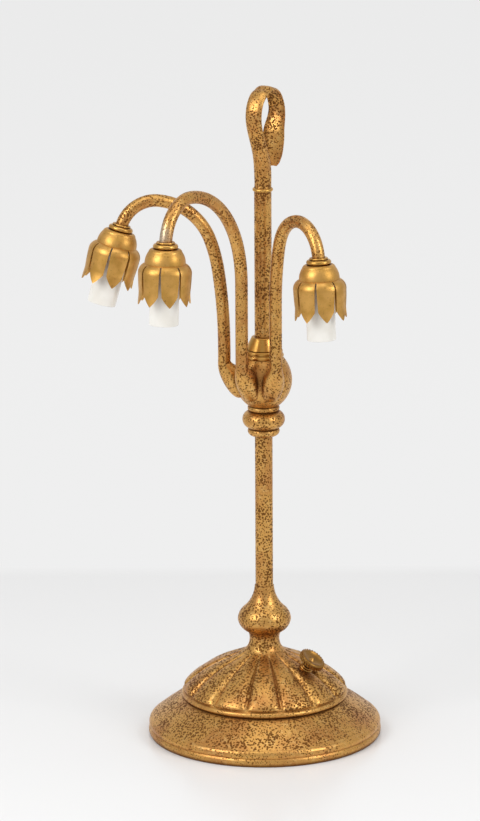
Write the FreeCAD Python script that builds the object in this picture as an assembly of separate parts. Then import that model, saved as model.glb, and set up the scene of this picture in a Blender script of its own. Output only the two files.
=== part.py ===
"""Three-light table lamp of gilt bronze: a fluted dome base with a turn switch, a turned column, three
hollow arms that rise from a bulb-shaped hub and hang over at the top, petal shade holders with white
lamp sockets, and a centre stem that ends in a carrying loop.

Millimetres. +Z is up, the origin is the centre of the foot on the table, and -Y is the front, where the
middle arm hangs. An azimuth is measured in degrees from the front, positive towards +X."""

import math
import os

import FreeCAD
import Part
from FreeCAD import Placement, Rotation, Vector

# ---------------------------------------------------------------- driving dimensions

# fits
bore_slack = 0.25          # radial room round a pipe, shaft or lead that passes through a hole
thread_slack = 0.05        # radial room of a pipe screwed into a drilled hole
seat_slack = 0.15          # radial room round a ring that sits in a recess or over a tube
cover_slack = 0.5          # radial room round the bottom plate and the felt

# foot: the flared ring that stands on the table
foot_radius = 91.9
foot_height = 30.4
foot_wall = 3.0
bead_height = 6.4          # half-round bead along the table
bead_inset = 1.3           # how far the groove above the bead lies inside the bead
roll_width = 1.7           # the rounded edge above the groove, from its widest place to the slope
roll_rise = 6.6
slope_crown = 0.5          # how far the slope up to the dome swells
cover_recess = 3.0         # depth of the step that takes the bottom plate and the felt
cover_step_width = 7.0
ledge_width = 9.0
ledge_thickness = 3.5

# dome: lobed cover on the foot
dome_radius = 65.8
dome_top = 65.3
dome_wall = 2.6
rim_bead = 2.7
lobe_count = 14
lobe_phase = 3.1           # azimuth of the first lobe's middle
lobe_depth = 3.5           # of the valleys, measured level
lobe_edge = 9              # how squarely the lobes turn into the valleys
lobe_bottom_inset = 1.4    # of the lobes' lower ends inside the dome's radius
lobe_bottom_height = 7.0   # of the lobes' lower ends above the foot
lobe_under = 1.6           # how far the lower ends turn under
crest_fullness = (1.78, 0.79)
crown_radius = 18.6        # plain round crown under the baluster

# baluster: turned neck and knop between dome and column
baluster_foot_radius = 18.5
baluster_waist_radius = 11.8
baluster_waist_z = 76.0
knop_radius = 21.0
knop_z = 93.4
knop_half_height = 9.6
baluster_top = 120.6

# column
column_radius = 6.9
column_bore = 5.7
column_top = 242.6

# knuckle: ring, ball and ring under the hub
knuckle_ring_radius = 12.5
knuckle_low_ring = 6.2
knuckle_ball_radius = 16.6
knuckle_ball_height = 13.8
knuckle_top_ring = 4.6

# hub: hollow bulb that holds the arms
hub_radius = 22.3
hub_neck_radius = 12.2
hub_belly_height = 20.2    # of the widest place above the underside
hub_height = 38.7
hub_mouth_land = 14.9      # radius of the flat the cap sits on
hub_cavity_radius = 16.0
hub_floor = 5.0
hub_nut_room = 10.0        # radius of the flat floor round the nut
hub_mouth_radius = 10.5

# hub cap: ringed cone that clamps the centre stem
cap_radius = 15.9
cap_top_radius = 8.9
cap_height = 16.0
cap_ring_height = 3.0
cap_groove = 0.9

# centre stem, its ring and the loop
stem_radius = 6.7
stem_bore = 5.2
stem_rise = 131.2          # of the stem above the hub
stem_spigot = 9.0          # threaded end of the loop inside the stem
stem_ring_radius = 8.0
stem_ring_height = 2.8
loop_root_radius = 6.4
loop_height = 78.7         # above the ring
loop_front = 13.7          # how far the front limb bows forward
loop_back = 22.4           # how far back the return limb hangs
loop_tip_height = 13.8     # of the tongue's end above the ring
loop_lift = 2.6            # height of the round outer face over the strip's edges
loop_dish = 1.2            # hollow along the loop's inner face
loop_edge = 0.6            # half the thickness of the strip's edges
loop_flattens = (0.12, 0.34)
# width along the loop, as (share of its length, width): it ends in a leaf-shaped tongue
loop_widths = (
    (0.0, 12.8),
    (0.35, 13.4),
    (0.6, 14.2),
    (0.71, 13.8),
    (0.77, 15.2),
    (0.83, 18.6),
    (0.89, 17.8),
    (0.93, 15.8),
    (0.96, 13.0),
    (0.985, 9.4),
    (1.0, 4.6),
)

# arms
arm_radius = 4.9
arm_bore = 3.5
arm_offset = 30.9          # of the upright part from the lamp's axis
arm_root_height = 38.5     # of the foot of the upright part above the hub's underside
arm_root_centre = 7.5      # distance from the axis of the point that the roots curve about
arm_seam = 0.3             # gap between neighbouring roots
arm_spread = 60.0          # arms closer together than this many degrees share a seam
# stations of the swollen root: degrees below level, inset of its middle, extra radius
root_stations = (
    (0, 0.0, 0.0),
    (15, 0.4, 1.2),
    (30, 1.3, 3.1),
    (45, 0.4, 3.8),
    (60, -2.6, 3.1),
    (76, -8.4, 0.3),
)
lead_bend = 22.0           # of the bore where it turns into the hub

# each arm: azimuth of its root, azimuth it hangs towards, length of its straight part, and its bends as
# (radius, degrees), from upright over the top
arms = {
    "left": (-49.0, -45.2, 10.0, ((414.3, 8.3), (126.1, 11.8), (52.7, 27.0), (50.7, 35.2), (26.4, 82.2))),
    "middle": (-2.9, -2.2, 63.9, ((91.0, 13.9), (79.3, 40.0), (76.7, 31.8), (31.5, 90.9))),
    "right": (47.6, 61.8, 48.5, ((209.3, 12.0), (51.5, 12.4), (29.6, 60.4), (26.6, 91.3))),
}

# shade holders: heights are distances down the socket's axis from the end of the arm
collar_radius = 9.5
collar_height = 3.8
collar_lip_radius = 7.1
collar_lip_height = 1.6
collar_overlap = 2.3       # how far the collar reaches up over the arm's end
holder_wall = 0.9
holder_neck_radius = 9.0   # flat round the nipple
holder_shoulder_radius = 12.7
holder_shoulder_drop = 2.2
holder_bell_radius = 15.5
holder_bell_swell = 0.45   # of the bell's side beyond a straight cone
holder_bell_length = 11.1
petal_count = 8
petal_bulge_radius = 20.2
petal_bulge_drop = 8.0     # from the end of the bell to the petals' widest place
petal_waist_radius = 19.4
petal_waist_drop = 21.5
petal_tip_radius = 20.3
petal_length = 31.2        # from the end of the bell to the tips
petal_point = 8.6          # length of the pointed end
slot_phase = 20.0          # azimuth of the first slot
slot_top_half = 0.6
slot_low_half = 1.3

# sockets
nipple_radius = 3.25
nipple_bore = 2.3
nipple_grip = 5.0          # length inside the arm
lock_nut_flats = 11.0
lock_nut_height = 2.5
socket_radius = 11.1
socket_length = 53.9
socket_bore = 8.6
socket_head = 10.0         # solid end with the wire chamber
chamber_radius = 5.6
chamber_depth = 6.0
shell_radius = 6.9
shell_bore = 5.95
shell_length = 24.0
shell_seat_radius = 8.3
shell_seat_wall = 0.9
shell_seat_height = 2.2    # of the wide seat that stands clear round the contact
shell_flange = 1.2
contact_radius = 3.2
contact_height = 1.4

# tie pipe and its nuts
pipe_radius = 5.05
pipe_bore = 3.4
pipe_bottom_z = 48.0
pipe_nut_flats = 16.0
pipe_nut_height = 4.5
washer_radius = 14.0
washer_height = 2.0
hub_nut_flats = 15.0
hub_nut_height = 3.5
pipe_stand = 1.8           # thread that stands out past a nut

# bottom plate
plate_thickness = 1.4
plate_screw_count = 3
plate_screw_radius = 1.5
plate_screw_length = 5.5
plate_screw_head_radius = 2.9
plate_screw_head = 0.9
felt_hole_slack = 0.8

# switch, on the dome's +X side
switch_azimuth = 90.0
switch_radius = 37.6       # distance of the switch shaft from the lamp's axis at the dome's surface
switch_tilt = 36.0         # of the shaft from upright
ferrule_radius = 5.6
ferrule_height = 2.4
ferrule_seat = 1.8         # depth of the round recess it sits in
ferrule_bush_radius = 3.6
ferrule_bush_length = 9.0
shaft_radius = 2.0
shaft_depth = 14.0
switch_body_radius = 10.0
switch_body_depth = 13.0
switch_nut_flats = 10.0
switch_nut_height = 2.0
switch_nut_rise = 1.0      # above the switch body
knob_gap = 0.6             # between the ferrule and the knob's neck
knob_neck_radius = 3.9
knob_neck_height = 3.4
knob_radius = 10.6
knob_thickness = 4.6
knob_dish = 1.6
knob_boss_radius = 2.8
knob_boss_height = 1.6
knob_tooth_count = 28
knob_tooth_radius = 0.85

# wiring
arm_lead_radius = 1.5
feed_lead_radius = 2.2
splice_radius = 4.6
splice_height = 10.0

# cord outlet in the back of the foot
outlet_azimuth = 180.0
outlet_z = 12.2
outlet_seat_radius = 86.0  # distance of the bush's flange from the lamp's axis
outlet_depth = 13.0
outlet_bush_radius = 4.0
outlet_bore = 3.0
outlet_flange_radius = 5.2
outlet_flange = 1.8

AXIS = Vector(0, 0, 1)
ORIGIN = Vector(0, 0, 0)
FULL_TURN = 360.0


# ---------------------------------------------------------------- ways of making things


def outline(start, *moves):
    """Closed wire in the XZ plane. A move is (r, z) for a line, or ((r, z), (r, z)) for an arc through
    the first point to the second."""
    here = Vector(start[0], 0, start[1])
    first, edges = here, []
    for move in moves:
        if isinstance(move[0], tuple):
            middle = Vector(move[0][0], 0, move[0][1])
            there = Vector(move[1][0], 0, move[1][1])
            edges.append(Part.Arc(here, middle, there).toShape())
        else:
            there = Vector(move[0], 0, move[1])
            edges.append(Part.makeLine(here, there))
        here = there
    if here.distanceToPoint(first) > 1e-6:
        edges.append(Part.makeLine(here, first))
    return Part.Wire(edges)


def turned(start, *moves):
    """Solid turned about the Z axis from an outline."""
    return Part.Face(outline(start, *moves)).revolve(ORIGIN, AXIS, FULL_TURN)


def rod(radius, low, high):
    """Upright cylinder on the Z axis between two heights."""
    return Part.makeCylinder(radius, high - low, Vector(0, 0, low))


def pipe(radius, bore, low, high):
    """Upright tube on the Z axis between two heights."""
    return rod(radius, low, high).cut(rod(bore, low - 1, high + 1))


def hex_nut(flats, height, bore, low):
    """Hexagonal nut on the Z axis, with its lower face at low."""
    corner = flats / math.sqrt(3)
    corners = [
        Vector(corner * math.cos(math.radians(a)), corner * math.sin(math.radians(a)), low)
        for a in range(0, 361, 60)
    ]
    nut = Part.Face(Part.makePolygon(corners)).extrude(Vector(0, 0, height))
    return nut.cut(rod(bore, low - 1, low + height + 1))


def facing(azimuth):
    """Level unit vector at an azimuth from the front."""
    angle = math.radians(azimuth)
    return Vector(math.sin(angle), -math.cos(angle), 0)


def level_point(azimuth, distance, z):
    """Point at an azimuth and distance from the lamp's axis."""
    return facing(azimuth) * distance + Vector(0, 0, z)


def round_sweep(edges, radius):
    """Round bar of one radius along a path of joined lines and arcs."""
    path = Part.Wire(edges)
    start = path.Edges[0]
    place = start.valueAt(start.FirstParameter)
    along = start.tangentAt(start.FirstParameter)
    ring = Part.Wire([Part.makeCircle(radius, place, along)])
    return path.makePipeShell([ring], True, False)


def placed(shape, point, down):
    """A shape made on the Z axis, moved so that its -Z runs along down from a point."""
    moved = shape.copy()
    moved.Placement = Placement(point, Rotation(Vector(0, 0, -1), down))
    return moved


# ---------------------------------------------------------------- base


def foot():
    """Ring on the table: half-round bead, groove, rounded edge and a slope up to the dome."""
    groove_radius = foot_radius - bead_inset
    roll_radius = groove_radius - roll_width
    roll_z = bead_height + roll_rise
    shelf_radius = dome_radius - rim_bead * 0.7
    slope_middle = (
        (roll_radius + shelf_radius) / 2 + slope_crown,
        (roll_z + foot_height) / 2 + slope_crown,
    )
    inner_shelf = shelf_radius - foot_wall
    recess_radius = foot_radius - cover_step_width
    ledge_radius = recess_radius - ledge_width
    ledge_top = cover_recess + ledge_thickness
    ring = turned(
        (recess_radius, 0),
        (foot_radius - bead_inset, 0),
        ((foot_radius, bead_height / 2), (groove_radius, bead_height)),
        ((groove_radius + 0.9, bead_height + roll_rise * 0.45), (roll_radius, roll_z)),
        (slope_middle, (shelf_radius, foot_height)),
        (inner_shelf - foot_wall, foot_height),
        (inner_shelf - foot_wall, foot_height - foot_wall),
        (inner_shelf, foot_height - foot_wall),
        (
            (slope_middle[0] - foot_wall, slope_middle[1] - foot_wall),
            (ledge_radius, ledge_top + foot_wall),
        ),
        (ledge_radius, cover_recess),
        (recess_radius, cover_recess),
    )
    for at in plate_screw_places():
        ring = ring.cut(screw_hole(at))
    outlet = rod(outlet_bush_radius, -outlet_depth * 2, outlet_depth)
    outlet = outlet.fuse(rod(outlet_flange_radius + bore_slack, 0, outlet_depth))
    return ring.cut(on_outlet(outlet))


def on_outlet(shape):
    """Moves a shape made on the Z axis, outward end up, to the seat of the cord outlet's flange."""
    return placed(shape, level_point(outlet_azimuth, outlet_seat_radius, outlet_z), -facing(outlet_azimuth))


def cord_bush():
    """Flanged bush in the cord outlet at the back of the foot."""
    body = rod(outlet_bush_radius, -outlet_depth, 0)
    flange = turned(
        (0, 0),
        (outlet_flange_radius, 0),
        ((outlet_flange_radius - 0.3, outlet_flange - 0.3), (outlet_flange_radius - 1.0, outlet_flange)),
        (outlet_bore + 0.8, outlet_flange),
        ((outlet_bore + 0.25, outlet_flange - 0.25), (outlet_bore, outlet_flange - 0.8)),
        (0, outlet_flange - 0.8),
    )
    body = body.fuse(flange).removeSplitter()
    return on_outlet(body.cut(rod(outlet_bore, -outlet_depth - 1, outlet_flange + 1)))


lobe_bottom_radius = dome_radius - lobe_bottom_inset


def rosette(radius, depth, z):
    """Closed ring of bulging lobes: radius at the lobes' middles, depth of the valleys between them."""
    pitch = FULL_TURN / lobe_count
    edges = []
    for lobe in range(lobe_count):
        points = []
        for step in (-1.0, -0.9, -0.74, -0.45, 0.0, 0.45, 0.74, 0.9, 1.0):
            azimuth = lobe_phase + pitch * (lobe + step / 2)
            inset = depth * (0.25 * step**2 + 0.75 * abs(step) ** lobe_edge)
            points.append(level_point(azimuth, radius - inset, z))
        curve = Part.BSplineCurve()
        curve.interpolate(points)
        edges.append(curve.toShape())
    return Part.Wire(edges)


def dome_height(radius):
    """Height of the dome over the lobes' middles at a distance from the axis."""
    low = foot_height + lobe_bottom_height
    inner, outer = crest_fullness
    share = min(radius / (lobe_bottom_radius + 0.6), 1.0)
    return low + (dome_top + 1.9 - low) * (1 - share**inner) ** outer


def dome():
    """Lobed cover: a plain crown, bulging lobes that turn under at their lower ends, and a round bead."""
    steps = (0.0, 0.18, 0.4, 0.62, 0.8, 0.93, 1.0)
    depths = (0.03, 0.28, 0.7, 0.95, 1.0, 1.0, 0.95)
    rings = []
    for step, depth in zip(steps, depths):
        radius = crown_radius + (lobe_bottom_radius - crown_radius) * step
        rings.append(rosette(radius, lobe_depth * depth, dome_height(radius)))
    low = foot_height + rim_bead * 1.8
    middle = (low + rings[-1].BoundBox.ZMin) / 2
    rings.append(rosette(lobe_bottom_radius + 0.1, lobe_depth * 0.85, middle))
    rings.append(rosette(lobe_bottom_radius - lobe_under, lobe_depth * 0.45, low))
    lobes = Part.makeLoft(rings, True, False)
    inner_radius = dome_radius - rim_bead - foot_wall * 2
    rim = turned(
        (0, foot_height),
        (dome_radius - rim_bead * 0.7, foot_height),
        (
            (dome_radius, foot_height + rim_bead),
            (dome_radius - rim_bead * 0.9, foot_height + rim_bead * 2),
        ),
        (lobe_bottom_radius - lobe_under - 1.4, foot_height + rim_bead * 2 + 0.3),
        (0, foot_height + rim_bead * 2 + 0.3),
    )
    crown = turned(
        (0, dome_top - 3),
        (crown_radius - 0.3, dome_top - 3),
        (crown_radius - 0.3, dome_top),
        (0, dome_top),
    )
    inside_top = dome_top - dome_wall * 2
    hollow = turned(
        (0, foot_height - 1),
        (inner_radius, foot_height - 1),
        (inner_radius, foot_height + dome_wall),
        (
            (inner_radius * 0.76, (foot_height + inside_top) / 2 + 4.0),
            (washer_radius + 2, inside_top),
        ),
        (0, inside_top),
    )
    body = lobes.fuse([rim, crown]).removeSplitter().cut(hollow)
    body = body.cut(rod(pipe_radius + bore_slack, foot_height, dome_top + 1))
    body = body.cut(on_switch(rod(ferrule_radius + seat_slack, -ferrule_seat, ferrule_height)))
    return body.cut(on_switch(rod(ferrule_bush_radius + bore_slack, -shaft_depth * 2, shaft_depth)))


def baluster():
    """Turned spindle: a flared foot on the crown, a waist, a round knop and a neck up to the column."""
    neck_radius = column_radius + 0.6
    under = (baluster_waist_radius + 1.5, knop_z - knop_half_height * 1.07)
    over = (knop_radius * 0.745, knop_z + knop_half_height)
    outer = turned(
        (0, dome_top),
        (baluster_foot_radius, dome_top),
        (
            (baluster_waist_radius + 1.9, dome_top + (baluster_waist_z - dome_top) * 0.38),
            (baluster_waist_radius, baluster_waist_z),
        ),
        ((baluster_waist_radius + 0.2, (baluster_waist_z + under[1]) / 2 + 0.4), under),
        ((knop_radius - 2.2, knop_z - knop_half_height * 0.62), (knop_radius, knop_z)),
        ((knop_radius - 1.3, knop_z + knop_half_height * 0.5), over),
        (
            (neck_radius + 2.3, over[1] + (baluster_top - over[1]) * 0.47),
            (neck_radius, baluster_top),
        ),
        (0, baluster_top),
    )
    return outer.cut(rod(pipe_radius + bore_slack, dome_top - 1, baluster_top + 1))


def column():
    """Plain tube between the baluster and the knuckle."""
    return pipe(column_radius, column_bore, baluster_top, column_top)


def knuckle():
    """Turned ring, ball and ring between the column and the hub."""
    low = column_top
    ring_top = low + knuckle_low_ring
    ball_top = ring_top + knuckle_ball_height
    top = ball_top + knuckle_top_ring
    notch = knuckle_ring_radius - 1.6
    outer = turned(
        (0, low),
        (column_radius + 1.6, low),
        ((knuckle_ring_radius - 1.2, low + 1.1), (knuckle_ring_radius, low + knuckle_low_ring * 0.55)),
        ((knuckle_ring_radius - 0.4, ring_top - 1.0), (notch, ring_top)),
        ((knuckle_ball_radius, (ring_top + ball_top) / 2), (notch, ball_top)),
        ((knuckle_ring_radius, (ball_top + top) / 2), (notch - 0.2, top)),
        (0, top),
    )
    return outer.cut(rod(pipe_radius + bore_slack, low - 1, top + 1))


hub_bottom = column_top + knuckle_low_ring + knuckle_ball_height + knuckle_top_ring
hub_centre_z = hub_bottom + hub_belly_height
hub_floor_z = hub_bottom + hub_floor
hub_top = hub_bottom + hub_height
arm_root_z = hub_bottom + arm_root_height
stem_top = hub_top + stem_rise
pipe_top_z = hub_floor_z + hub_nut_height + pipe_stand
splice_low = pipe_top_z + 1.0


def hub_body():
    """Outer form of the hub, solid: a bulb on a neck, cut flat where the cap sits."""
    return turned(
        (0, hub_bottom),
        (hub_neck_radius, hub_bottom),
        (
            (hub_radius * 0.88, (hub_bottom + hub_centre_z) / 2 - 1.2),
            (hub_radius, hub_centre_z),
        ),
        (
            (hub_radius * 0.91, (hub_top + hub_centre_z) / 2 + 0.6),
            (hub_mouth_land, hub_top),
        ),
        (0, hub_top),
    )


def hub():
    """Hollow bulb with a floor for the tie pipe, a mouth for the stem and a port for each arm's lead."""
    cavity = Part.makeSphere(hub_cavity_radius, Vector(0, 0, hub_centre_z))
    cavity = cavity.fuse(rod(hub_nut_room, hub_floor_z, hub_centre_z))
    cavity = cavity.common(rod(hub_cavity_radius, hub_floor_z, hub_top))
    body = hub_body().cut(cavity)
    body = body.cut(rod(hub_mouth_radius, hub_centre_z, hub_top + 1))
    body = body.cut(rod(pipe_radius + bore_slack, hub_bottom - 1, hub_floor_z + 1))
    for name in arms:
        body = body.cut(round_sweep(root_bore_edges(name), arm_bore))
    return body


# ---------------------------------------------------------------- arms


def bent(start, level, heading, bends):
    """Arcs in the upright plane of a level direction, from a point and a heading in degrees above level.
    A positive bend turns down. Returns the edges, the end point and the end direction."""
    edges, here = [], start
    for radius, turn in bends:
        def at(angle):
            across = radius * (math.sin(math.radians(heading)) - math.sin(math.radians(angle)))
            rise = radius * (math.cos(math.radians(angle)) - math.cos(math.radians(heading)))
            return here + level * across + AXIS * rise

        middle, there = at(heading - turn / 2), at(heading - turn)
        edges.append(Part.Arc(here, middle, there).toShape())
        heading -= turn
        here = there
    way = level * math.cos(math.radians(heading)) + AXIS * math.sin(math.radians(heading))
    return edges, here, way


def arch_edges(name):
    """An arm's upright part and its bends over the top, from the root up to the socket."""
    root_azimuth, hang_azimuth, straight, bends = arms[name]
    low = level_point(root_azimuth, arm_offset, arm_root_z)
    high = level_point(root_azimuth, arm_offset, arm_root_z + straight)
    edges, end, way = bent(high, facing(hang_azimuth), 90.0, bends)
    return [Part.makeLine(low, high)] + edges, end, way


def root_bore_edges(name):
    """Path of the bore and the lead from the foot of the upright part into the hub."""
    azimuth = arms[name][0]
    turn = 80.0
    top = level_point(azimuth, arm_offset, arm_root_z)

    def at(angle):
        inward = lead_bend * (1 - math.cos(math.radians(angle)))
        drop = lead_bend * math.sin(math.radians(angle))
        return top - facing(azimuth) * inward - AXIS * drop

    way = -facing(azimuth) * math.sin(math.radians(turn)) - AXIS * math.cos(math.radians(turn))
    end = at(turn)
    left = Vector(end.x, end.y, 0).Length - splice_radius / 2
    inner = end + way * (left / math.sin(math.radians(turn)))
    return [Part.Arc(top, at(turn / 2), end).toShape(), Part.makeLine(end, inner)]


def swollen_root(name):
    """The arm's lower end, which swells and curls in under the hub like a leaf round a bud."""
    rings = []
    for angle, inset, extra in root_stations:
        turn = math.radians(angle)
        reach = arm_offset - arm_root_centre - inset
        ring = Part.makeCircle(arm_radius + extra, ORIGIN, Vector(0, 0, -1))
        ring.rotate(ORIGIN, Vector(1, 0, 0), angle)
        ring.translate(
            Vector(0, -arm_root_centre - reach * math.cos(turn), arm_root_z - reach * math.sin(turn))
        )
        rings.append(Part.Wire([ring]))
    root = Part.makeLoft(rings, True, False)
    root.rotate(ORIGIN, AXIS, arms[name][0])
    return root


def seam_blocks(name):
    """Blocks past the middle planes between an arm and the arms beside it."""
    mine = arms[name][0]
    size = hub_radius * 3
    blocks = []
    for other, _, _, _ in arms.values():
        if other == mine or abs(other - mine) > arm_spread:
            continue
        side = arm_seam / 2 if other > mine else -arm_seam / 2 - size
        block = Part.makeBox(size, size, size, Vector(side, -size, hub_bottom - hub_radius))
        block.rotate(ORIGIN, AXIS, (mine + other) / 2)
        blocks.append(block)
    return blocks


def arm(name):
    """Bent tube with a swollen root that seats on the hub."""
    arch, end, way = arch_edges(name)
    tube = round_sweep(arch, arm_radius)
    body = tube.fuse(swollen_root(name))
    for block in seam_blocks(name):
        body = body.cut(block)
    body = body.cut(hub_body())
    body = body.cut(rod(arm_offset * 2, hub_bottom - hub_radius * 2, hub_bottom + 0.4))
    body = body.cut(round_sweep(arch, arm_bore))
    body = body.cut(round_sweep(root_bore_edges(name), arm_bore))
    body = body.cut(placed(rod(nipple_radius + thread_slack, -1, nipple_grip + 0.5), end, way))
    solids = sorted(body.Solids, key=lambda s: s.Volume)
    return solids[-1]


# ---------------------------------------------------------------- sockets, made on the Z axis below 0


def collar():
    """Turned ring over the arm's end, with a small lip above it."""
    top = collar_overlap
    lip_low = top - collar_lip_height
    low = lip_low - collar_height
    outer = turned(
        (0, low),
        (collar_radius - collar_height * 0.35, low),
        (
            (collar_radius, (low + lip_low) / 2),
            (collar_radius - collar_height * 0.35, lip_low),
        ),
        (collar_lip_radius - 0.5, lip_low),
        ((collar_lip_radius, (lip_low + top) / 2), (collar_lip_radius - 0.5, top)),
        (0, top),
    )
    outer = outer.cut(rod(arm_radius + seat_slack, 0, top + 1))
    return outer.cut(rod(nipple_radius, low - 1, 1))


holder_top = collar_overlap - collar_lip_height - collar_height
bell_end = holder_top - holder_bell_length
petal_tips = bell_end - petal_length


def holder():
    """Pressed petal cup for the neck of a glass shade: a bell that opens in sprung, pointed petals."""
    bulge_z = bell_end - petal_bulge_drop
    waist_z = bell_end - petal_waist_drop
    shoulder_z = holder_top - holder_shoulder_drop
    side_radius = (holder_shoulder_radius + holder_bell_radius) / 2 + holder_bell_swell
    side_z = (shoulder_z + bell_end) / 2 + 1.0
    flank_radius = (petal_bulge_radius + petal_waist_radius) / 2 + 0.15
    flank_z = (bulge_z + waist_z) / 2
    wall = holder_wall
    shell = turned(
        (0, holder_top),
        (holder_neck_radius, holder_top),
        (
            (holder_shoulder_radius - 0.8, holder_top - 0.7),
            (holder_shoulder_radius, shoulder_z),
        ),
        ((side_radius, side_z), (holder_bell_radius, bell_end)),
        (
            (holder_bell_radius + 3.6, bell_end - 3.0),
            (petal_bulge_radius, bulge_z),
        ),
        ((flank_radius, flank_z), (petal_waist_radius, waist_z)),
        (
            ((petal_waist_radius + petal_tip_radius) / 2 - 0.2, (waist_z + petal_tips) / 2),
            (petal_tip_radius, petal_tips),
        ),
        (petal_tip_radius - wall, petal_tips),
        (
            ((petal_waist_radius + petal_tip_radius) / 2 - 0.2 - wall, (waist_z + petal_tips) / 2),
            (petal_waist_radius - wall, waist_z),
        ),
        ((flank_radius - wall, flank_z), (petal_bulge_radius - wall, bulge_z)),
        (
            (holder_bell_radius + 3.6 - wall * 0.8, bell_end - 3.0 - wall * 0.7),
            (holder_bell_radius - wall, bell_end - wall * 0.6),
        ),
        (
            (side_radius - wall, side_z - wall * 0.3),
            (holder_shoulder_radius - wall, shoulder_z - wall * 0.3),
        ),
        (
            (holder_shoulder_radius - 0.8 - wall * 0.9, holder_top - 0.7 - wall * 0.7),
            (holder_neck_radius - wall * 0.3, holder_top - wall),
        ),
        (0, holder_top - wall),
    )
    shell = shell.cut(rod(nipple_radius, holder_top - wall - 1, holder_top + 1))
    for petal in range(petal_count):
        shell = shell.cut(petal_slot(slot_phase + FULL_TURN / petal_count * petal))
    return shell


def petal_slot(azimuth):
    """Cutter between two petals: a slit that widens downwards and opens into their pointed tips."""
    reach = holder_bell_radius
    point_z = petal_tips + petal_point
    half_pitch = petal_tip_radius * math.tan(math.pi / petal_count)
    top_z = bell_end - 0.4
    below = petal_tips - 1

    def at(across, z):
        return Vector(across, reach * 0.5, z)

    right = [
        Part.Arc(at(0, top_z), at(slot_top_half * 0.8, top_z - 0.4), at(slot_top_half, top_z - 1.4)),
        Part.LineSegment(at(slot_top_half, top_z - 1.4), at(slot_low_half, point_z)),
        Part.Arc(
            at(slot_low_half, point_z),
            at(slot_low_half + (half_pitch - slot_low_half) * 0.48, petal_tips + petal_point * 0.42),
            at(half_pitch + 0.05, petal_tips - 0.3),
        ),
        Part.LineSegment(at(half_pitch + 0.05, petal_tips - 0.3), at(half_pitch + 0.05, below)),
    ]
    left = [
        Part.LineSegment(at(-half_pitch - 0.05, below), at(-half_pitch - 0.05, petal_tips - 0.3)),
        Part.Arc(
            at(-half_pitch - 0.05, petal_tips - 0.3),
            at(-slot_low_half - (half_pitch - slot_low_half) * 0.48, petal_tips + petal_point * 0.42),
            at(-slot_low_half, point_z),
        ),
        Part.LineSegment(at(-slot_low_half, point_z), at(-slot_top_half, top_z - 1.4)),
        Part.Arc(at(-slot_top_half, top_z - 1.4), at(-slot_top_half * 0.8, top_z - 0.4), at(0, top_z)),
    ]
    floor = [Part.LineSegment(at(half_pitch + 0.05, below), at(-half_pitch - 0.05, below))]
    wire = Part.Wire([piece.toShape() for piece in right + floor + left])
    cutter = Part.Face(wire).extrude(Vector(0, petal_tip_radius * 1.5, 0))
    cutter.rotate(ORIGIN, AXIS, azimuth)
    return cutter


nut_low = holder_top - holder_wall - lock_nut_height
socket_top = nut_low - 0.6
socket_low = socket_top - socket_length
floor_z = socket_top - socket_head


def nipple():
    """Threaded tube that joins the arm, collar, holder and socket."""
    return pipe(nipple_radius, nipple_bore, socket_top - chamber_depth * 0.45, nipple_grip)


def lock_nut():
    """Hexagonal nut that clamps the holder on the nipple."""
    return hex_nut(lock_nut_flats, lock_nut_height, nipple_radius, nut_low)


def socket_body():
    """White porcelain lampholder, open below, with a wire chamber at its head."""
    body = turned(
        (0, socket_top),
        (socket_radius - 1.6, socket_top),
        ((socket_radius - 0.5, socket_top - 0.5), (socket_radius, socket_top - 1.6)),
        (socket_radius, socket_low + 0.7),
        ((socket_radius - 0.2, socket_low + 0.2), (socket_radius - 0.7, socket_low)),
        (socket_bore + 0.5, socket_low),
        (socket_bore, socket_low + 0.5),
        (socket_bore, floor_z),
        (0, floor_z),
    )
    body = body.cut(rod(nipple_radius, socket_top - chamber_depth, socket_top + 1))
    chamber_low = socket_top - chamber_depth - 0.01
    return body.cut(rod(chamber_radius, chamber_low, socket_top - chamber_depth * 0.45))


def screw_shell():
    """Brass screw shell, whose wide seat stands on the socket's floor clear of the contact."""
    step = floor_z - shell_seat_height
    shell = pipe(shell_radius, shell_bore, floor_z - shell_length, step)
    flange = pipe(shell_seat_radius, shell_bore, step - shell_flange, step)
    seat = pipe(shell_seat_radius, shell_seat_radius - shell_seat_wall, step, floor_z)
    return shell.fuse([flange, seat]).removeSplitter()


def contact():
    """Centre contact at the socket's floor."""
    return turned(
        (0, floor_z),
        (contact_radius, floor_z),
        (contact_radius, floor_z - contact_height * 0.4),
        (
            (contact_radius * 0.7, floor_z - contact_height * 0.85),
            (contact_radius * 0.3, floor_z - contact_height),
        ),
        (0, floor_z - contact_height),
    )


def arm_lead(name):
    """Insulated lead from the splice in the hub up the arm to the socket's wire chamber."""
    arch, end, way = arch_edges(name)
    foot_arc, foot_line = root_bore_edges(name)
    chamber_end = end + way * -(socket_top - chamber_depth)
    tail = Part.makeLine(end, chamber_end)
    upper = round_sweep(arch + [tail], arm_lead_radius)
    lower = round_sweep([foot_arc, foot_line], arm_lead_radius)
    lead = upper.fuse(lower).removeSplitter()
    return lead.cut(splice())


# ---------------------------------------------------------------- centre stem and loop


cap_low = hub_top


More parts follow.
